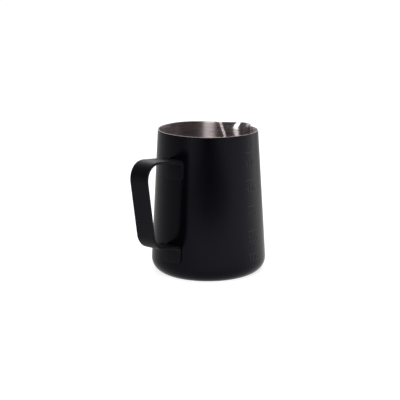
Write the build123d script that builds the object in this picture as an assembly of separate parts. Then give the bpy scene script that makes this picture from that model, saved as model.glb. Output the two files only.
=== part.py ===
from build123d import *
import os
from math import acos, atan, atan2, cos, degrees, pi, radians, sin, tan

# Milk frothing pitcher of the 600 ml class, in millimetres.
# Z is up, the origin is the centre of the standing ring, the spout points to +X and the handle to -X.

# Vessel: one sheet of steel, drawn as a cone that widens towards its base
rim_height = 110.17  # the rim on the pitcher's axis
rim_radius = 38.0  # outside of the steel at that height
base_radius = 44.5  # the wall's line carried on down to the standing plane
sheet = 0.7
corner_radius = 10.3  # outside of the bottom corner
recess_rise = 1.2  # the base disc stands this far above the standing ring
recess_radius = 26.5
recess_slope = 45.0  # degrees
recess_bend = 2.0

# Rim: it falls gently towards the spout, and more steeply from rim_fall_start on
rim_slope = 0.0186
rim_fall_start = 7.2
rim_fall = 0.00099  # per mm squared

# Spout: two flat flanks that meet in a parabolic keel and leave the wall in a soft shoulder
spout_foot = 38.0  # height where the flanks' meeting line leaves the wall
spout_reach = 55.6  # radius of that line at the rim, before the keel is rounded
spout_half_angle = 38.0  # degrees between a flank and the spout's middle plane
lip_level = 107.6  # height of the spout's lip
lip_keel = 9.5  # half of the keel's width at the lip
keel_growth = 1.2  # the half width grows by this for each mm below the lip
keel_share = 0.94  # but takes no more than this share of the flank
shoulder_foot, shoulder_top = 2.0, 9.0  # radius of the shoulders
spout_zone = 34.0  # degrees to each side that the spout can touch
foot_turns = [5.0, 3.8, 2.5]  # degrees from the middle where shoulder, flank and keel start at the joint

# Coat on the outside
coat = 0.12
bare_edge = 0.2  # bare steel left below the rim
coat_bottom = 0.6  # the coat ends this far above the standing plane

# Handle: one bent strap
strap_width = 16.0
strap_thickness = 2.0
strap_edge = 0.5
tab_sink = 0.35  # the flat tabs bed this far into the round wall's crest
tab_corner = 2.5
upper_tab_foot, upper_arm_height, upper_arm_rise = 78.0, 92.5, 0.119
lower_tab_foot, lower_arm_height, lower_arm_rise = 15.0, 27.8, 0.165
grip_reach = 81.3  # distance of the grip's middle line from the axis at upper_arm_height
grip_lean = 0.155  # the grip comes in by this much for each mm down
tab_bend, upper_bend, lower_bend = 4.0, 12.1, 12.6

# Spot welds between tabs and wall, two in each tab
nugget_radius = 2.2
nugget_spacing = 7.4
nugget_in_wall, nugget_in_strap = 0.4, 1.0

# Graduation: raised lines on the -Y side, at the true volumes
tick_volumes = [100, 200, 300, 400, 500]  # ml
tick_height = 0.6
tick_relief = 0.15
tick_start = -98.0  # degrees round from +X
tick_length = 16.0  # degrees
ml = 1000.0  # cubic millimetres
first_layer, layer = 12.0, 1.0  # steps of the volume's sum

# Levels of the upper body's cross-sections
joint_height = 46.0
section_heights = [54.0, 66.0, 79.0, 92.0, 102.0, 111.0]

taper = (base_radius - rim_radius) / rim_height
wall_lean = degrees(atan(taper))
half = radians(spout_half_angle)
across = Vector(sin(half), cos(half))  # square to a flank, outwards


def wall_radius(height, grow=0.0):
    return base_radius - taper * height + grow


def spoke(radius, angle):
    return Vector(radius * cos(angle), radius * sin(angle))


def blend(height, at_foot, at_top):
    share = (height - spout_foot) / (rim_height - spout_foot)
    return at_foot + (at_top - at_foot) * share


def flank_corner(height):
    # radius where the two flanks would meet without a keel
    return blend(height, wall_radius(spout_foot), spout_reach)


def shoulder_arc(height, grow):
    # ends and middle of the round stretch from the wall to the flank
    wall = wall_radius(height, grow)
    shoulder = blend(height, shoulder_foot, shoulder_top) - grow
    reach = wall + shoulder
    offset = flank_corner(height) * sin(half) + grow + shoulder
    turn = pi / 2 - half - acos(offset / reach)
    centre = spoke(reach, turn)
    middle = centre - (across + spoke(1, turn)).normalized() * shoulder
    return spoke(wall, turn), middle, centre - across * shoulder


def keel_width(height):
    # half of the keel's width on the steel's outside
    widest = keel_share * shoulder_arc(height, 0.0)[2].Y
    return min(lip_keel + keel_growth * (lip_level - height), widest)


def flip(point):
    return Vector(point.X, -point.Y)


def section(height, grow):
    # closed outline of the upper body, on the steel's outside grown outwards by grow:
    # back, wall, shoulder, flank and keel, then the same mirrored
    wall = wall_radius(height, grow)
    seam = spoke(wall, radians(spout_zone))
    shoulder_start, shoulder_middle, flank_start = shoulder_arc(height, grow)
    wall_middle = spoke(wall, (radians(spout_zone) + atan2(shoulder_start.Y, shoulder_start.X)) / 2)
    width = keel_width(height)
    flank_end = Vector(flank_corner(height) - width / tan(half), width) + across * grow
    side = [
        ThreePointArc(seam, wall_middle, shoulder_start),
        ThreePointArc(shoulder_start, shoulder_middle, flank_start),
        Line(flank_start, flank_end),
    ]
    keel = Bezier(flank_end, Vector(flank_corner(height) + grow / sin(half), 0), flip(flank_end))
    return close_section(height, wall, seam, side, keel)


def joint_section(grow):
    # the same pieces on the plain circle where the spout starts
    wall = wall_radius(joint_height, grow)
    stops = [radians(angle) for angle in [spout_zone] + foot_turns]
    side = [
        ThreePointArc(spoke(wall, a), spoke(wall, (a + b) / 2), spoke(wall, b))
        for a, b in zip(stops, stops[1:])
    ]
    keel = ThreePointArc(spoke(wall, stops[-1]), Vector(wall, 0), spoke(wall, -stops[-1]))
    return close_section(joint_height, wall, spoke(wall, stops[0]), side, keel)


def close_section(height, wall, seam, side, keel):
    back = ThreePointArc(flip(seam), Vector(-wall, 0), seam)
    other_side = [mirror(edge, Plane.XZ) for edge in reversed(side)]
    return Pos(0, 0, height) * make_face([back, *side, keel, *other_side])


def rim_level(x):
    return rim_height - rim_slope * x - rim_fall * max(x - rim_fall_start, 0.0) ** 2


def below_rim(drop=0.0):
    # everything under the rim's line, lowered by drop
    far = 70.0
    middle = (rim_fall_start + far) / 2
    bend = Bezier(
        (rim_fall_start, rim_level(rim_fall_start)),
        (middle, rim_height - rim_slope * middle),
        (far, rim_level(far)),
    )
    outline = Polyline(
        (far, rim_level(far)), (far, -far), (-far, -far), (-far, rim_level(-far)), bend @ 0
    )
    face = make_face([bend, outline])
    return Pos(0, 0, -drop) * extrude(Plane.XZ * face, far, both=True)


def lower_form(grow):
    # solid of revolution inside the sheet's outside, grown outwards, from the base up to joint_height
    shift = grow * tan(radians(recess_slope / 2))
    slope_run = recess_rise / tan(radians(recess_slope))
    points = [
        (0, recess_rise - grow),
        (recess_radius - shift, recess_rise - grow),
        (recess_radius + slope_run - shift, -grow),
        (wall_radius(-grow, grow), -grow),
        (wall_radius(joint_height, grow), joint_height),
    ]
    radii = [recess_bend - grow, recess_bend + grow, corner_radius + grow]
    outline = FilletPolyline(*points, radius=radii)
    top = Polyline(points[-1], (0, joint_height), points[0])
    return revolve(Plane.XZ * make_face([outline, top]), Axis.Z)


def body_form(grow):
    levels = [joint_section(grow)] + [section(height, grow) for height in section_heights]
    upper = loft(levels)
    return lower_form(grow) + upper


def strap():
    # the strap's middle line in side view, from the upper tab's foot round to the lower tab's foot
    def tab_line(height):
        return wall_radius(height) - tab_sink + strap_thickness / 2

    def grip_line(height):
        return grip_reach - grip_lean * (upper_arm_height - height)

    def outer_corner(arm_height, rise):
        # where an arm's line meets the grip's line
        start = tab_line(arm_height)
        run = (grip_line(arm_height) - start) / (1 - rise * grip_lean)
        return (-(start + run), arm_height + rise * run)

    points = [
        (-tab_line(upper_tab_foot), upper_tab_foot),
        (-tab_line(upper_arm_height), upper_arm_height),
        outer_corner(upper_arm_height, upper_arm_rise),
        outer_corner(lower_arm_height, lower_arm_rise),
        (-tab_line(lower_arm_height), lower_arm_height),
        (-tab_line(lower_tab_foot), lower_tab_foot),
    ]
    path = Plane.XZ * FilletPolyline(*points, radius=[tab_bend, upper_bend, lower_bend, tab_bend])
    start = Plane(origin=path @ 0, x_dir=(0, 1, 0), z_dir=path % 0)
    solid = sweep(start * RectangleRounded(strap_width, strap_thickness, strap_edge), path)
    for foot in (upper_tab_foot, lower_tab_foot):
        solid -= tab_corner_cuts(foot)
    return solid


def tab_corner_cuts(foot):
    # the two corners of a tab's end, rounded in the tab's own plane
    square = Pos(0, tab_corner / 2) * Rectangle(strap_width + 2, tab_corner)
    rounded = Pos(0, 2 * tab_corner) * RectangleRounded(strap_width, 4 * tab_corner, tab_corner)
    waste = extrude(square - rounded, 4 * strap_thickness, both=True)
    plane = Plane(
        origin=(-wall_radius(foot), 0, foot), x_dir=(0, 1, 0), z_dir=(-cos(radians(wall_lean)), 0, taper)
    )
    return plane * waste


def nuggets(height):
    out = Plane(
        origin=(-wall_radius(height), 0, height), x_dir=(0, 1, 0), z_dir=(-1, 0, -taper)
    )
    depth = nugget_in_wall + nugget_in_strap
    disc = Pos(0, 0, depth / 2 - nugget_in_wall) * Cylinder(nugget_radius, depth)
    pair = [Pos(side * nugget_spacing / 2, 0, 0) * disc for side in (-1, 1)]
    return [out * each for each in pair]


def cross_area(height):
    # inside the sheet; the spout is counted from the first of section_heights
    if height < section_heights[0]:
        return pi * wall_radius(height, -sheet) ** 2
    return section(height, -sheet).area


def fill_heights(volumes):
    # the heights that the volumes fill to, found by adding thin layers
    bottom = split(lower_form(-sheet), Plane.XY.offset(first_layer), keep=Keep.BOTTOM)
    height, filled, heights = first_layer, bottom.volume, []
    for volume in volumes:
        added = cross_area(height + layer / 2) * layer
        while filled + added < volume * ml:
            height, filled = height + layer, filled + added
            added = cross_area(height + layer / 2) * layer
        heights.append(height + layer * (volume * ml - filled) / added)
    return heights


def tick(height):
    low, high = height - tick_height / 2, height + tick_height / 2
    inner, outer = coat, coat + tick_relief
    outline = Polyline(
        (wall_radius(low, inner), low),
        (wall_radius(low, outer), low),
        (wall_radius(high, outer), high),
        (wall_radius(high, inner), high),
        close=True,
    )
    bar = revolve(Plane.XZ * make_face(outline), Axis.Z, revolution_arc=tick_length)
    return Rot(0, 0, tick_start) * bar


os.makedirs("parts", exist_ok=True)

steel = body_form(0.0)
cavity = body_form(-sheet)
handle = strap() - steel
upper_welds = nuggets((upper_tab_foot + upper_arm_height - tab_bend) / 2)
lower_welds = nuggets((lower_tab_foot + lower_arm_height - tab_bend) / 2)

shell = (steel - cavity) & below_rim()
skin = (body_form(coat) - steel) & below_rim(bare_edge)
skin = split(skin, Plane.XY.offset(coat_bottom), keep=Keep.TOP)
skin = skin.solids().sort_by(SortBy.VOLUME)[-1] - handle  # the underside of the base stays bare
for nugget in upper_welds + lower_welds:
    shell -= nugget
    handle -= nugget
    skin -= nugget

ticks = []
for volume, level in zip(tick_volumes, fill_heights(tick_volumes)):
    print(f"{volume} ml at {level:.1f} mm")
    ticks.append(tick(level))

nodes = {
    "body_shell": shell,
    "outer_coat": skin,
    "handle_strap": handle,
    "upper_weld_nuggets": Compound(upper_welds),
    "lower_weld_nuggets": Compound(lower_welds),
    "scale_ticks": Compound(ticks),
}
for name, solid in nodes.items():
    export_step(solid, f"parts/{name}.step")
    print(name, round(solid.volume, 1), "mm3")
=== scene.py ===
import bmesh
import bpy
from math import acos, atan2, ceil, copysign, cos, hypot, pi, radians, sin, sqrt, tan
from mathutils import Matrix, Quaternion, Vector


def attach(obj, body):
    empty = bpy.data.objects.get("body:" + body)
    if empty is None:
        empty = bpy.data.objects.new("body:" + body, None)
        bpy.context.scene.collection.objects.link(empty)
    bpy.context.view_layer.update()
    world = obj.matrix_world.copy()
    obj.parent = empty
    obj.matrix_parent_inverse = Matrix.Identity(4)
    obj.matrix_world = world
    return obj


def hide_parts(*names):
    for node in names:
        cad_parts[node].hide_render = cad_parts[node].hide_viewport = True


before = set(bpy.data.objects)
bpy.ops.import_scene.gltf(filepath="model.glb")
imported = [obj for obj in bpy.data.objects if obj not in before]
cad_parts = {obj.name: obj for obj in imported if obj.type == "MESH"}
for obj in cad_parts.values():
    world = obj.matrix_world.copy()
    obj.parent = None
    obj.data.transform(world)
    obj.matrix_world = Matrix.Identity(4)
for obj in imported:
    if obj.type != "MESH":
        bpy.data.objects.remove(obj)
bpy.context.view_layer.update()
mm = 0.001
touching = 1e-3  # mm, points closer than this are one
sameTurn = 1e-4  # radians
cutAngle = radians(60)  # a cut edge turns by more than this
flatAngle = radians(50)  # edges that turn by more than this are shaded as edges
whiteLight = (1, 1, 1, 1)
print("frame loaded:", sorted(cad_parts))


def linear(hexColour):
    channels = [int(hexColour[i : i + 2], 16) / 255 for i in (1, 3, 5)]
    return [c / 12.92 if c <= 0.04045 else ((c + 0.055) / 1.055) ** 2.4 for c in channels] + [1.0]


def addNode(tree, kind, values=None, links=None):
    # values are the node's own settings or its sockets' values, links join its sockets to outputs
    node = tree.nodes.new("ShaderNode" + kind)
    for name, value in (values or {}).items():
        if isinstance(name, int) or name in node.inputs:
            node.inputs[name].default_value = value
        else:
            setattr(node, name, value)
    for name, output in (links or {}).items():
        tree.links.new(output, node.inputs[name])
    return node


def between(start, end, before, after):
    # a Map Range node's limits
    return {"From Min": start, "From Max": end, "To Min": before, "To Max": after}


def newMaterial(name):
    material = bpy.data.materials.new(name)
    material.use_nodes = True
    material.node_tree.nodes.clear()
    return material, material.node_tree


def finishMaterial(tree, shader):
    addNode(tree, "OutputMaterial", links={"Surface": shader.outputs[0]})


# The vessel's sheet, in mm: a cone that widens downwards, a rounded bottom corner and a recessed base
vessel = {
    "rimHeight": 110.17,  # over the axis
    "rimRadius": 38.0,
    "baseRadius": 44.5,  # the wall's line carried on down to the standing plane
    "sheet": 0.7,
    "corner": 10.3,  # radius of the bottom corner
    "recessRise": 1.2,
    "recessRadius": 26.5,
    "recessSlope": 45.0,  # degrees
    "recessBend": 2.0,
    "rimSlope": 0.0186,  # the rim's fall for each mm towards the spout
    "rimFallStart": 7.2,  # from here to the lip it also falls in a parabola
    "rimFall": 0.00099,
    "rimFollow": 30.0,  # rings this far below the rim start to follow its line
    "rimZone": 10.0,  # the cut edge lies within this of the rim's height
    "rimRound": 0.3,
    "ringGap": 2.4,
    "columnTurn": 3.0,  # degrees
    "cornerSteps": 12,
    "bendSteps": 5,
    "rimSteps": 3,
}
# The pressed spout: flat flanks, a parabolic keel between them and round shoulders on to the wall
spout = {
    "settle": 20.0,  # from here up the columns draw together towards the spout
    "start": 46.0,
    "whole": 54.0,  # above this the flanks are complete
    "foot": 38.0,  # where the line of the flanks' meeting leaves the wall
    "reach": 54.5,  # radius of the flanks' meeting at the rim, before the keel rounds it
    "halfAngle": 38.0,  # degrees
    "lipKeel": 9.0,  # half of the keel's width at the lip
    "keelGrowth": 0.9,  # for each mm below the lip
    "lipLevel": 107.6,
    "keelShare": 0.94,  # the keel takes no more of the flank than this
    "shoulder": (2.0, 9.0),  # radius at the foot and at the rim
    "columns": (7.0, 20.0, 28.0, 34.0),  # degrees spun for keel, flank, shoulder and wall
    "columnTurn": 0.5,  # degrees
}
half = radians(spout["halfAngle"])
taper = (vessel["baseRadius"] - vessel["rimRadius"]) / vessel["rimHeight"]


def wallRadius(height):
    return vessel["baseRadius"] - taper * height


def rimLevel(x):
    fall = vessel["rimFall"] * max(x - vessel["rimFallStart"], 0) ** 2
    return vessel["rimHeight"] - vessel["rimSlope"] * x - fall


def spoutPoint(spun, height):
    # the angle and radius on the drawn sheet of a column that was spun to this angle
    level = max(height, spout["whole"])
    share = (level - spout["foot"]) / (vessel["rimHeight"] - spout["foot"])
    shoulder = spout["shoulder"][0] + (spout["shoulder"][1] - spout["shoulder"][0]) * share
    footRadius = wallRadius(spout["foot"])
    corner = footRadius + (spout["reach"] - footRadius) * share
    wall = wallRadius(level)
    outwards = wall + shoulder
    turn = pi / 2 - half - acos((corner * sin(half) + shoulder) / outwards)
    flankX = outwards * cos(turn) - shoulder * sin(half)
    flankY = outwards * sin(turn) - shoulder * cos(half)
    # the keel is a parabola between the flanks: tight at the lip, then as wide as the flanks leave room
    keelHalf = spout["lipKeel"] + spout["keelGrowth"] * (spout["lipLevel"] - level)
    keelHalf = min(keelHalf, spout["keelShare"] * flankY)
    crest = corner - keelHalf / tan(half) / 2
    keelEnd = atan2(keelHalf, corner - keelHalf / tan(half))
    columns = [0] + [radians(angle) for angle in spout["columns"]]
    ends = [0, keelEnd, atan2(flankY, flankX), turn, columns[-1]]
    last = len(spout["columns"]) - 1
    span = next(i for i in range(last + 1) if i == last or abs(spun) <= columns[i + 1] + sameTurn)
    along = (abs(spun) - columns[span]) / (columns[span + 1] - columns[span])
    angle = ends[span] + (ends[span + 1] - ends[span]) * along
    if span == 0:
        y = keelHalf * along
        x = crest - y**2 / (2 * keelHalf * tan(half))
        angle, radius = atan2(y, x), hypot(x, y)
    elif span == 1:
        radius = corner * sin(half) / sin(half + angle)
    elif span == 2:
        radius = outwards * cos(angle - turn) - sqrt(shoulder**2 - (outwards * sin(angle - turn)) ** 2)
    else:
        radius = wall
    fade = min(max((height - spout["start"]) / (spout["whole"] - spout["start"]), 0), 1)
    settled = min(max((height - spout["settle"]) / (spout["start"] - spout["settle"]), 0), 1)
    angle = abs(spun) + (angle - abs(spun)) * settled
    return copysign(angle, spun), wallRadius(height) + (radius - wall) * fade


def shapeWall(point):
    # moves a point of the spun sheet out into the spout and up or down to the rim's line
    spun, height = atan2(point.y, point.x), point.z
    follow = max(1 - (vessel["rimHeight"] - height) / vessel["rimFollow"], 0) ** 2
    angle, radius, level = spun, hypot(point.x, point.y), height
    # the level and the radius hang on each other, and three rounds settle them
    for step in range(3):
        if abs(spun) < radians(spout["columns"][-1]):
            angle, radius = spoutPoint(spun, level)
        elif follow > 0:
            radius = wallRadius(level)
        level = height + follow * (rimLevel(radius * cos(angle)) - vessel["rimHeight"])
    return Vector((radius * cos(angle), radius * sin(angle), level))


def roundCorner(bm, vertex, radius, steps):
    before, after = [edge.other_vert(vertex).co - vertex.co for edge in vertex.link_edges]
    offset = radius * tan((pi - before.angle(after)) / 2)
    bmesh.ops.bevel(bm, geom=[vertex], offset=offset, offset_type="OFFSET", segments=steps,
                    profile=0.5, affect="VERTICES", material=-1)


def wire(bm, points):
    vertices = [bm.verts.new(point) for point in points]
    for a, b in zip(vertices, vertices[1:]):
        bm.edges.new((a, b))
    return vertices


def subdivideLong(bm, gap):
    # cuts edges that are much longer than the gap into pieces about as long as it
    for edge in [edge for edge in bm.edges if edge.calc_length() > 1.5 * gap]:
        bmesh.ops.subdivide_edges(bm, edges=[edge], cuts=ceil(edge.calc_length() / gap) - 1)


def drawnSheet(topDrop=0.0):
    # the outside of the steel, from the middle of the base up to topDrop below the rim
    bm = bmesh.new()
    run = vessel["recessRise"] / tan(radians(vessel["recessSlope"]))
    top = vessel["rimHeight"] - topDrop
    corners = wire(bm, [
        (0, 0, vessel["recessRise"]),
        (vessel["recessRadius"], 0, vessel["recessRise"]),
        (vessel["recessRadius"] + run, 0, 0),
        (vessel["baseRadius"], 0, 0),
        (wallRadius(top), 0, top),
    ])
    roundCorner(bm, corners[1], vessel["recessBend"], vessel["bendSteps"])
    roundCorner(bm, corners[2], vessel["recessBend"], vessel["bendSteps"])
    roundCorner(bm, corners[3], vessel["corner"], vessel["cornerSteps"])
    subdivideLong(bm, vessel["ringGap"])
    profile = bm.verts[:] + bm.edges[:]
    zone = radians(spout["columns"][-1])
    bmesh.ops.rotate(bm, verts=bm.verts, matrix=Matrix.Rotation(-zone, 3, "Z"))
    for turn, step in ((2 * zone, spout["columnTurn"]), (2 * pi - 2 * zone, vessel["columnTurn"])):
        steps = round(turn / radians(step))
        spun = bmesh.ops.spin(bm, geom=profile, axis=(0, 0, 1), angle=turn, steps=steps)
        profile = spun["geom_last"]
    bmesh.ops.remove_doubles(bm, verts=bm.verts, dist=touching)
    brush = bm.loops.layers.uv.new("brush")
    for face in bm.faces:
        middle = face.calc_center_median()
        around = atan2(middle.y, middle.x)
        for loop in face.loops:
            point = loop.vert.co
            out, offset = hypot(point.x, point.y), 0
            if out > touching:
                offset = (atan2(point.y, point.x) - around + pi) % (2 * pi) - pi
            # first along the profile, then round the axis, in mm
            loop[brush].uv = (point.z + out, (around + offset) * vessel["rimRadius"])
    for vertex in bm.verts:
        if vertex.co.z > spout["settle"]:
            vertex.co = shapeWall(vertex.co)
    bmesh.ops.recalc_face_normals(bm, faces=bm.faces)
    if max(bm.verts, key=lambda v: v.co.x).normal.x < 0:
        bmesh.ops.reverse_faces(bm, faces=bm.faces)
    return bm


def solid(bm, thickness):
    bmesh.ops.solidify(bm, geom=bm.faces[:], thickness=thickness)
    bmesh.ops.recalc_face_normals(bm, faces=bm.faces)


def makePiece(name, bm, material, replaced=()):
    bmesh.ops.scale(bm, vec=(mm, mm, mm), verts=bm.verts)
    mesh = bpy.data.meshes.new(name)
    bm.to_mesh(mesh)
    bm.free()
    mesh.shade_smooth()
    mesh.set_sharp_from_angle(angle=flatAngle)
    mesh.materials.append(material)
    piece = bpy.data.objects.new(name, mesh)
    bpy.context.scene.collection.objects.link(piece)
    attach(piece, "root")
    if replaced:
        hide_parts(*replaced)
    print(name, "faces", len(mesh.polygons))
    return piece


# Stainless 18/10 sheet, brushed round the axis: fine ring lines, reflections drawn out up and down
brushed = {
    "darkLine": "#968D8D",
    "lightLine": "#F3E6E8",
    "roughness": 0.28,
    "unevenness": 0.03,  # of the roughness, between the brush lines
    "anisotropy": 0.97,
    "lineGap": 1.0,  # mm, coarser than real brush lines so that they show
    "lineLength": 26.0,  # mm
    "bump": 0.05,
    "bumpDepth": 0.05,  # mm
}


def brushedStainless():
    material, tree = newMaterial("brushedStainless")
    uv = addNode(tree, "UVMap", {"uv_map": "brush"})
    scale = (1 / brushed["lineGap"], 1 / brushed["lineLength"], 1)
    lines = addNode(tree, "Mapping", {"Scale": scale}, {"Vector": uv.outputs["UV"]})
    grain = addNode(
        tree, "TexNoise", {"Scale": 1.0, "Detail": 3.0, "Roughness": 0.6}, {"Vector": lines.outputs[0]}
    )
    smoothest, roughest = (brushed["roughness"] + side * brushed["unevenness"] for side in (-1, 1))
    roughness = addNode(
        tree, "MapRange", between(0, 1, smoothest, roughest), {"Value": grain.outputs["Fac"]}
    )
    dark, light = linear(brushed["darkLine"]), linear(brushed["lightLine"])
    tint = addNode(tree, "Mix", {"data_type": "RGBA", 6: dark, 7: light}, {0: grain.outputs["Fac"]})
    bump = addNode(
        tree, "Bump", {"Strength": brushed["bump"], "Distance": brushed["bumpDepth"] * mm},
        {"Height": grain.outputs["Fac"]},
    )
    # across the brush lines: up the wall and, on the flat base, out from the axis
    place = addNode(tree, "TexCoord")
    tangent = addNode(
        tree, "VectorMath", {"operation": "MULTIPLY_ADD", 1: (2, 2, 0), 2: (0, 0, 1)},
        {0: place.outputs["Object"]},
    )
    shader = addNode(
        tree,
        "BsdfPrincipled",
        {"Metallic": 1.0, "Anisotropic": brushed["anisotropy"]},
        {
            "Base Color": tint.outputs[2],
            "Roughness": roughness.outputs[0],
            "Normal": bump.outputs[0],
            "Tangent": tangent.outputs[0],
        },
    )
    finishMaterial(tree, shader)
    return material


# The rim's cut edge, ground and tumbled: dull grey steel without brush lines
ground = {
    "darkGrain": "#BDB6B6",
    "lightGrain": "#CFC8C9",
    "roughness": 0.55,
    "grainSize": 0.4,  # mm
    "bump": 0.2,
    "bumpDepth": 0.05,  # mm
}


def groundSteel():
    material, tree = newMaterial("groundSteel")
    place = addNode(tree, "TexCoord")
    grain = addNode(
        tree, "TexNoise", {"Scale": 1 / (ground["grainSize"] * mm), "Detail": 3.0},
        {"Vector": place.outputs["Object"]},
    )
    dark, light = linear(ground["darkGrain"]), linear(ground["lightGrain"])
    tint = addNode(tree, "Mix", {"data_type": "RGBA", 6: dark, 7: light}, {0: grain.outputs["Fac"]})
    bump = addNode(
        tree, "Bump", {"Strength": ground["bump"], "Distance": ground["bumpDepth"] * mm},
        {"Height": grain.outputs["Fac"]},
    )
    shader = addNode(
        tree, "BsdfPrincipled", {"Metallic": 1.0, "Roughness": ground["roughness"]},
        {"Base Color": tint.outputs[2], "Normal": bump.outputs[0]},
    )
    finishMaterial(tree, shader)
    return material


# Baked satin black coating on steel: nearly black, a soft sheen at grazing angles, a faint orange peel
coating = {
    "colour": "#030304",
    "patchColour": "#060608",
    "patchSize": 25.0,  # mm
    "gloss": "#EDE5FF",  # the sheen is a little cool
    "unevenness": 0.04,  # of the roughness, between the patches
    "peel": 0.06,
    "peelDepth": 0.1,  # mm
    # roughness, specular level and size of the orange peel in mm
    "body": (0.2, 0.11, 1.4),
    "strap": (0.48, 0.15, 1.1),
    "marks": (0.4, 0.3, 0.6),
}


def satinBlackCoat(name, surface):
    material, tree = newMaterial(name)
    roughness, specular, peelSize = coating[surface]
    place = addNode(tree, "TexCoord")
    patches = addNode(
        tree, "TexNoise", {"Scale": 1 / (coating["patchSize"] * mm), "Detail": 2.0},
        {"Vector": place.outputs["Object"]},
    )
    colour = addNode(
        tree,
        "Mix",
        {"data_type": "RGBA", 6: linear(coating["colour"]), 7: linear(coating["patchColour"])},
        {0: patches.outputs["Fac"]},
    )
    smoothest, roughest = (roughness + side * coating["unevenness"] for side in (-1, 1))
    rough = addNode(
        tree, "MapRange", between(0, 1, smoothest, roughest), {"Value": patches.outputs["Fac"]}
    )
    peel = addNode(
        tree, "TexNoise", {"Scale": 1 / (peelSize * mm), "Detail": 2.0},
        {"Vector": place.outputs["Object"]},
    )
    bump = addNode(
        tree, "Bump", {"Strength": coating["peel"], "Distance": coating["peelDepth"] * mm},
        {"Height": peel.outputs["Fac"]},
    )
    shader = addNode(
        tree,
        "BsdfPrincipled",
        {"Specular IOR Level": specular, "Specular Tint": linear(coating["gloss"])},
        {"Base Color": colour.outputs[2], "Roughness": rough.outputs[0], "Normal": bump.outputs[0]},
    )
    finishMaterial(tree, shader)
    return material


# Resistance-welded steel: dull grey with a straw and blue heat tint
weld = {
    "strawTint": "#8E8272",
    "blueTint": "#6F7480",
    "tintSize": 2.5,  # mm
    "roughness": 0.5,
    "bump": 0.3,
    "bumpDepth": 0.1,  # mm
}


def weldedSteel():
    material, tree = newMaterial("weldedSteel")
    place = addNode(tree, "TexCoord")
    heat = addNode(
        tree, "TexNoise", {"Scale": 1 / (weld["tintSize"] * mm), "Detail": 4.0},
        {"Vector": place.outputs["Object"]},
    )
    straw, blue = linear(weld["strawTint"]), linear(weld["blueTint"])
    tint = addNode(tree, "Mix", {"data_type": "RGBA", 6: straw, 7: blue}, {0: heat.outputs["Fac"]})
    bump = addNode(
        tree, "Bump", {"Strength": weld["bump"], "Distance": weld["bumpDepth"] * mm},
        {"Height": heat.outputs["Fac"]},
    )
    shader = addNode(
        tree, "BsdfPrincipled", {"Metallic": 1.0, "Roughness": weld["roughness"]},
        {"Base Color": tint.outputs[2], "Normal": bump.outputs[0]},
    )
    finishMaterial(tree, shader)
    return material


steel = brushedStainless()
bodyCoat = satinBlackCoat("satinBlackCoat", "body")
strapCoat = satinBlackCoat("satinBlackStrap", "strap")
markCoat = satinBlackCoat("raisedBlackMark", "marks")
print("materials ready")


def makeVessel():
    bm = drawnSheet()
    solid(bm, vessel["sheet"])
    lowest = vessel["rimHeight"] - vessel["rimZone"]
    sharp = [edge for edge in bm.edges if edge.calc_face_angle(0) > cutAngle]
    rim = [edge for edge in sharp if edge.verts[0].co.z > lowest]
    rounded = bmesh.ops.bevel(bm, geom=rim, offset=vessel["rimRound"], offset_type="OFFSET",
                              segments=vessel["rimSteps"], profile=0.5, affect="EDGES", material=-1)
    for face in rounded["faces"]:
        face.material_index = 1
    piece = makePiece("vessel", bm, steel, ["body_shell"])
    piece.data.materials.append(groundSteel())


# The coat on the outside of the vessel, in mm
coat = {
    "thickness": 0.12,
    "bareEdge": 0.2,  # it ends this far below the rim
    "bottom": 0.6,  # and this far above the standing plane
    "bareBase": 28.5,  # the base stays bare inside this radius
}


def makeCoat():
    bm = drawnSheet(coat["bareEdge"])
    everything = bm.verts[:] + bm.edges[:] + bm.faces[:]
    bmesh.ops.bisect_plane(
        bm, geom=everything, plane_co=(0, 0, coat["bottom"]), plane_no=(0, 0, -1), clear_outer=True
    )
    inner = [face for face in bm.faces if hypot(*face.calc_center_median().xy) < coat["bareBase"]]
    bmesh.ops.delete(bm, geom=inner, context="FACES")
    solid(bm, -coat["thickness"])
    makePiece("outerCoat", bm, bodyCoat, ["outer_coat"])


# The handle's strap, in mm: its middle line in side view, from tab to tab
strap = {
    "width": 16.0,
    "thickness": 2.0,
    "edge": 0.35,  # radius
    "sink": 0.35,  # the tabs' depth in the wall's line
    "tabCorner": 2.5,
    "upperTabFoot": 78.0,
    "upperArm": 92.5,  # height where the arm leaves the wall
    "upperRise": 0.119,  # for each mm out
    "lowerTabFoot": 15.0,
    "lowerArm": 27.8,
    "lowerRise": 0.165,
    "gripReach": 81.25,  # from the axis, at the upper arm's height
    "gripLean": 0.155,
    "tabPress": (2.0, 7.0),  # the tabs follow the wall's curve, which fades out this far from the wall
    "pressGap": 1.6,  # between the cuts that let the tabs bend
    "tabBend": 4.0,
    "upperBend": 12.1,
    "lowerBend": 12.6,
    "bendSteps": 20,
    "tabSteps": 8,
    "edgeSteps": 4,
}


def strapCorners():
    def tabLine(height):
        return wallRadius(height) - strap["sink"] + strap["thickness"] / 2

    def gripCorner(height, rise):
        reach = strap["gripReach"] - strap["gripLean"] * (strap["upperArm"] - height)
        run = (reach - tabLine(height)) / (1 - rise * strap["gripLean"])
        return -(tabLine(height) + run), 0, height + rise * run

    return [
        (-tabLine(strap["upperTabFoot"]), 0, strap["upperTabFoot"]),
        (-tabLine(strap["upperArm"]), 0, strap["upperArm"]),
        gripCorner(strap["upperArm"], strap["upperRise"]),
        gripCorner(strap["lowerArm"], strap["lowerRise"]),
        (-tabLine(strap["lowerArm"]), 0, strap["lowerArm"]),
        (-tabLine(strap["lowerTabFoot"]), 0, strap["lowerTabFoot"]),
    ]


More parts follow.
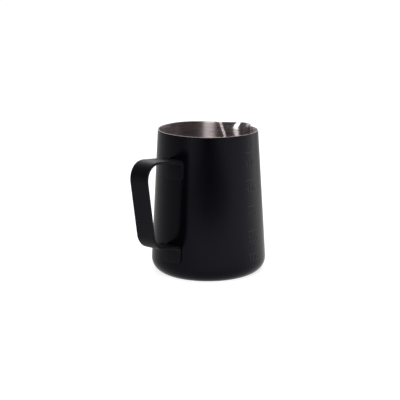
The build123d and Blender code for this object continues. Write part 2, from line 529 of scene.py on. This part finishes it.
def makeStrap():
    bm = bmesh.new()
    corners = wire(bm, strapCorners())
    for corner, radius in zip(corners[1:5], ("tabBend", "upperBend", "lowerBend", "tabBend")):
        roundCorner(bm, corner, strap[radius], strap["bendSteps"])
    bmesh.ops.translate(bm, verts=bm.verts, vec=(0, -strap["width"] / 2, 0))
    swept = bmesh.ops.extrude_edge_only(bm, edges=bm.edges[:])["geom"]
    moved = [item for item in swept if isinstance(item, bmesh.types.BMVert)]
    bmesh.ops.translate(bm, verts=moved, vec=(0, strap["width"], 0))
    ends = [vertex for vertex in bm.verts if len(vertex.link_edges) == 2]
    bmesh.ops.bevel(bm, geom=ends, offset=strap["tabCorner"], offset_type="OFFSET",
                    segments=strap["tabSteps"], profile=0.5, affect="VERTICES", material=-1)
    bmesh.ops.recalc_face_normals(bm, faces=bm.faces)
    bm.normal_update()
    middle = [(vertex, vertex.normal.copy()) for vertex in bm.verts]
    for vertex, normal in middle:
        vertex.co += normal * strap["thickness"] / 2
    solid(bm, strap["thickness"])
    sharp = [edge for edge in bm.edges if edge.calc_face_angle(0) > cutAngle]
    bmesh.ops.bevel(bm, geom=sharp, offset=strap["edge"], offset_type="OFFSET",
                    segments=strap["edgeSteps"], profile=0.5, affect="EDGES", clamp_overlap=True,
                    material=-1)
    cuts = int(strap["width"] / 2 / strap["pressGap"]) - 1
    for i in range(-cuts, cuts + 1):
        everything = bm.verts[:] + bm.edges[:] + bm.faces[:]
        bmesh.ops.bisect_plane(
            bm, geom=everything, plane_co=(0, i * strap["pressGap"], 0), plane_no=(0, 1, 0)
        )
    near, far = strap["tabPress"]
    for vertex in bm.verts:
        wall = wallRadius(vertex.co.z)
        press = min(max((far + wall + vertex.co.x) / (far - near), 0), 1)
        vertex.co.x += press * (wall - sqrt(wall**2 - vertex.co.y**2))
    makePiece("handleStrap", bm, strapCoat, ["handle_strap"])


# The graduation's numbers, in mm, on the -Y side under the raised lines
numbers = {
    "labels": [("100", 15.6), ("200", 31.0), ("300", 49.5), ("400", 68.7), ("500", 88.3), ("ml", 102.5)],
    "merge": 1e-4,
    "capHeight": 4.6,
    "capShare": 0.7,  # a capital's height in the typeface's size
    "spacing": 1.2,
    "relief": 0.14,
    "sunk": 0.03,
    "middle": -90.0,  # degrees round from +X
    "bendStep": 0.7,  # between the cuts that let the figures bend round the wall
}


def makeNumbers():
    bm = bmesh.new()
    for label, height in numbers["labels"]:
        text = bpy.data.curves.new("label", "FONT")
        text.body = label
        text.align_x, text.align_y = "CENTER", "CENTER"
        text.size = numbers["capHeight"] / numbers["capShare"]
        text.space_character = numbers["spacing"]
        text.extrude = (numbers["relief"] + numbers["sunk"]) / 2
        holder = bpy.data.objects.new("label", text)
        bpy.context.scene.collection.objects.link(holder)
        bpy.context.view_layer.update()
        mesh = bpy.data.meshes.new_from_object(holder)
        letters = bmesh.new()
        letters.from_mesh(mesh)
        bmesh.ops.remove_doubles(letters, verts=letters.verts, dist=numbers["merge"])
        cuts = round(max(abs(v.co.x) for v in letters.verts) / numbers["bendStep"])
        for i in range(-cuts, cuts + 1):
            everything = letters.verts[:] + letters.edges[:] + letters.faces[:]
            bmesh.ops.bisect_plane(
                letters, geom=everything, plane_co=(i * numbers["bendStep"], 0, 0), plane_no=(1, 0, 0)
            )
        lift = coat["thickness"] + (numbers["relief"] - numbers["sunk"]) / 2
        for vertex in letters.verts:
            level = height + vertex.co.y
            turn = radians(numbers["middle"]) + vertex.co.x / wallRadius(height)
            radius = wallRadius(level) + lift + vertex.co.z
            vertex.co = Vector((radius * cos(turn), radius * sin(turn), level))
        bent = bpy.data.meshes.new("bent")
        letters.to_mesh(bent)
        letters.free()
        bm.from_mesh(bent)
        bpy.data.objects.remove(holder)
        for used in (mesh, bent):
            bpy.data.meshes.remove(used)
        bpy.data.curves.remove(text)
    piece = makePiece("scaleNumbers", bm, markCoat)
    piece.data.shade_flat()


makeVessel()
makeCoat()
makeStrap()
makeNumbers()
weldSteel = weldedSteel()
finishes = {"scale_ticks": markCoat, "upper_weld_nuggets": weldSteel, "lower_weld_nuggets": weldSteel}
for node, material in finishes.items():
    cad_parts[node].data.materials.clear()
    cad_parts[node].data.materials.append(material)
print("pieces ready")

# The studio, in metres and in degrees round from -Y towards +X: a pale floor, a surround that is white
# at the back, a large soft lamp in front and a weak one at the back
studio = {
    "floorRadius": 8.0,
    "floorSides": 64,
    "floorColour": "#BCBCBC",
    "floorGlow": 0.78,  # seen from the camera, on top of the light that the floor gets
    # what a gloss shows of the floor, painted light and shade in place of its lit colour: azimuth, from,
    # to, and the value before and after
    "mirrored": {
        # a painted brighter side of the floor, which only reflections show
        "side": (-10.0, -0.1, 0.2, 0.6, 1.65),
        # a painted dark patch on the floor in front, which only reflections show; the next line bounds
        # it sideways
        "paintedDarkAhead": (-51.0, 0.27, 0.47, 0.0, 0.95),  # a dark patch in front
        "paintedDarkAcross": (39.0, 0.38, 0.52, 1.0, 0.0),
    },
    # a painted shadow on the floor round the object's foot, which only reflections show
    "paintedFootShadow": (0.04, 0.16, 0.9, 1.0),  # round the object's foot, in the same order
    "ambient": 0.5,  # the surround's strength as light on the object
    "wallAzimuth": 128.3,
    # the surround as it is seen, by the cosine from its middle: from, to, and the strength before
    # and after
    "wall": (0.2, 0.7, 0.1, 1.0),
    "lamps": {
        "softLamp": {
            "azimuth": -54.5, "elevation": 42.0, "distance": 1.3, "size": (0.5, 0.7), "power": 11.0
        },
        "backLamp": {
            "azimuth": 128.3, "elevation": 35.0, "distance": 1.3, "size": (0.5, 0.5), "power": 2.7
        },
    },
}


def seenWhite(tree):
    # 1 for rays from the camera and for rays that a surface mirrors or lets through, 0 for others
    path = addNode(tree, "LightPath")
    both = addNode(
        tree, "Math", {"operation": "ADD"},
        {0: path.outputs["Is Camera Ray"], 1: path.outputs["Is Glossy Ray"]},
    )
    return addNode(
        tree, "Math", {"operation": "ADD", "use_clamp": True},
        {0: both.outputs[0], 1: path.outputs["Is Transmission Ray"]},
    ).outputs[0]


def makeFloor():
    material, tree = newMaterial("paleFloor")
    matt = addNode(tree, "BsdfDiffuse", {"Color": linear(studio["floorColour"])})
    path = addNode(tree, "LightPath")
    seen = addNode(
        tree, "Math", {"operation": "MULTIPLY", 1: studio["floorGlow"]},
        {0: path.outputs["Is Camera Ray"]},
    )
    glow = addNode(tree, "Emission", {"Color": whiteLight}, {"Strength": seen.outputs[0]})
    plain = addNode(tree, "AddShader", links={0: matt.outputs[0], 1: glow.outputs[0]})
    # What glosses see of the floor is painted: a brighter side and a dark patch in front, in place of
    # its lit colour
    place = addNode(tree, "TexCoord")
    shares = {}
    for name, (azimuth, *limits) in studio["mirrored"].items():
        direction = (sin(radians(azimuth)), -cos(radians(azimuth)), 0)
        along = addNode(
            tree, "VectorMath", {"operation": "DOT_PRODUCT", 1: direction}, {0: place.outputs["Object"]}
        )
        if name == "paintedDarkAcross":
            along = addNode(tree, "Math", {"operation": "ABSOLUTE"}, {0: along.outputs["Value"]})
        shares[name] = addNode(
            tree, "MapRange", {"interpolation_type": "SMOOTHSTEP", **between(*limits)},
            {0: along.outputs["Value"]},
        ).outputs[0]
    patch = addNode(
        tree, "Math", {"operation": "MULTIPLY"}, {0: shares["paintedDarkAhead"], 1: shares["paintedDarkAcross"]}
    )
    clear = addNode(tree, "Math", {"operation": "SUBTRACT", 0: 1.0}, {1: patch.outputs[0]})
    level = addNode(tree, "Math", {"operation": "MULTIPLY"}, {0: shares["side"], 1: clear.outputs[0]})
    # painted shadow: the floor that glosses show grows darker towards the object's foot
    distance = addNode(tree, "VectorMath", {"operation": "LENGTH"}, {0: place.outputs["Object"]})
    shade = addNode(tree, "MapRange", between(*studio["paintedFootShadow"]), {0: distance.outputs["Value"]})
    mirrored = addNode(
        tree, "Math", {"operation": "MULTIPLY"}, {0: level.outputs[0], 1: shade.outputs[0]}
    )
    reflected = addNode(tree, "Emission", {"Color": whiteLight}, {"Strength": mirrored.outputs[0]})
    # glossy rays see only this painted reflection; the camera and other rays see the plain floor
    both = addNode(
        tree, "MixShader",
        links={0: path.outputs["Is Glossy Ray"], 1: plain.outputs[0], 2: reflected.outputs[0]},
    )
    finishMaterial(tree, both)
    bm = bmesh.new()
    bmesh.ops.create_circle(
        bm, cap_ends=True, segments=studio["floorSides"], radius=studio["floorRadius"]
    )
    mesh = bpy.data.meshes.new("floor")
    bm.to_mesh(mesh)
    bm.free()
    mesh.materials.append(material)
    floor = bpy.data.objects.new("floor", mesh)
    bpy.context.scene.collection.objects.link(floor)


def makeWorld():
    world = bpy.data.worlds.new("surround")
    bpy.context.scene.world = world
    world.use_nodes = True
    tree = world.node_tree
    tree.nodes.clear()
    direction = addNode(tree, "TexCoord")
    turn = radians(studio["wallAzimuth"])
    towards = addNode(
        tree, "VectorMath", {"operation": "DOT_PRODUCT", 1: (sin(turn), -cos(turn), 0)},
        {0: direction.outputs["Generated"]},
    )
    wall = addNode(
        tree, "MapRange", {"interpolation_type": "SMOOTHSTEP", **between(*studio["wall"])},
        {0: towards.outputs["Value"]},
    )
    strength = addNode(
        tree, "Mix", {"data_type": "FLOAT", 2: studio["ambient"]},
        {0: seenWhite(tree), 3: wall.outputs[0]},
    )
    glow = addNode(tree, "Background", {"Color": whiteLight}, {"Strength": strength.outputs[0]})
    addNode(tree, "OutputWorld", links={"Surface": glow.outputs[0]})


def makeLamp(name, azimuth, elevation, distance, size, power):
    data = bpy.data.lights.new(name, "AREA")
    data.shape = "RECTANGLE"
    data.size, data.size_y = size
    data.energy = power
    lamp = bpy.data.objects.new(name, data)
    bpy.context.scene.collection.objects.link(lamp)
    turn, rise = radians(azimuth), radians(elevation)
    lamp.location = distance * Vector((sin(turn) * cos(rise), -cos(turn) * cos(rise), sin(rise)))
    lamp.rotation_mode = "QUATERNION"
    lamp.rotation_quaternion = (-lamp.location).to_track_quat("-Z", "Y")


# The camera, in metres and degrees
view = {
    "azimuth": -51.7,
    "elevation": 13.772,
    "distance": 1.0,
    "aimSide": -0.00636,
    "aimHeight": 0.05441,
    "roll": -0.33,
    "lens": 117.0,  # mm
    "sensor": 36.0,  # mm
}


def makeCamera():
    turn = Matrix.Rotation(radians(view["azimuth"]), 3, "Z")
    rise = radians(view["elevation"])
    height = view["aimHeight"] + view["distance"] * sin(rise)
    place = turn @ Vector((0, -view["distance"] * cos(rise), height))
    aim = turn @ Vector((view["aimSide"], 0, view["aimHeight"]))
    data = bpy.data.cameras.new("camera")
    data.lens = view["lens"]
    data.sensor_width = view["sensor"]
    camera = bpy.data.objects.new("camera", data)
    bpy.context.scene.collection.objects.link(camera)
    camera.location = place
    camera.rotation_mode = "QUATERNION"
    roll = Quaternion((0, 0, 1), radians(view["roll"]))
    camera.rotation_quaternion = (aim - place).to_track_quat("-Z", "Y") @ roll
    bpy.context.scene.camera = camera


makeFloor()
makeWorld()
for name, lamp in studio["lamps"].items():
    makeLamp(name, **lamp)
makeCamera()
bpy.context.scene.view_settings.view_transform = "Standard"
print("studio ready")
